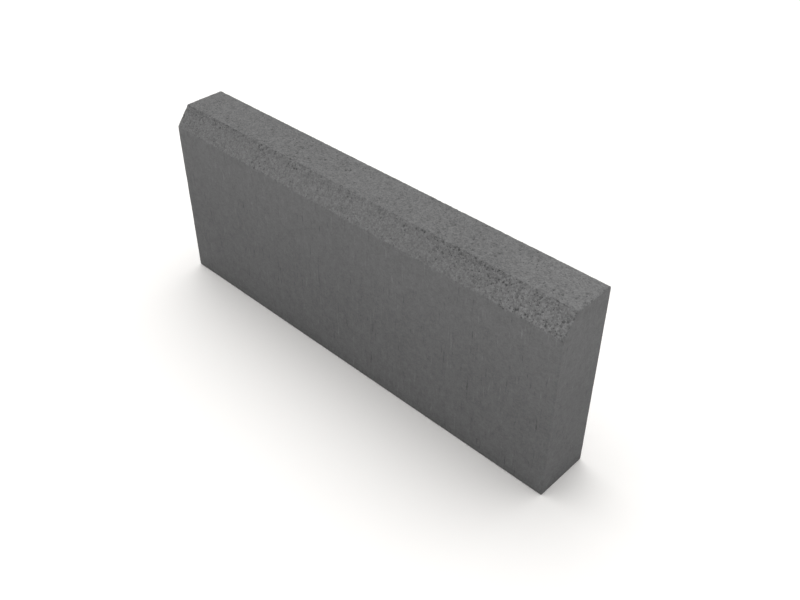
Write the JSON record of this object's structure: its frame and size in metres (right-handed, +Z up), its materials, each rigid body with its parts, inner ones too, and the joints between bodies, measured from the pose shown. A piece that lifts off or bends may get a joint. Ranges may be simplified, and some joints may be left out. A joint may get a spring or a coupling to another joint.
{
  "type": "kerb stone",
  "caption": "Straight upright concrete edging kerb: a plain rectangular block with one long chamfer along its front top edge, laid end to end to edge a path or lawn.",
  "frame": {"origin": "centre of the stone's footprint, on the level of its bed face", "axes": "+X along the kerb line, -Y out of the chamfered front face, +Z up"},
  "size_m": [0.5, 0.06, 0.2],
  "materials": {
    "concrete": "matte"
  },
  "bodies": {
    "root": {"kerb_stone": "concrete"}
  },
  "joints": []
}
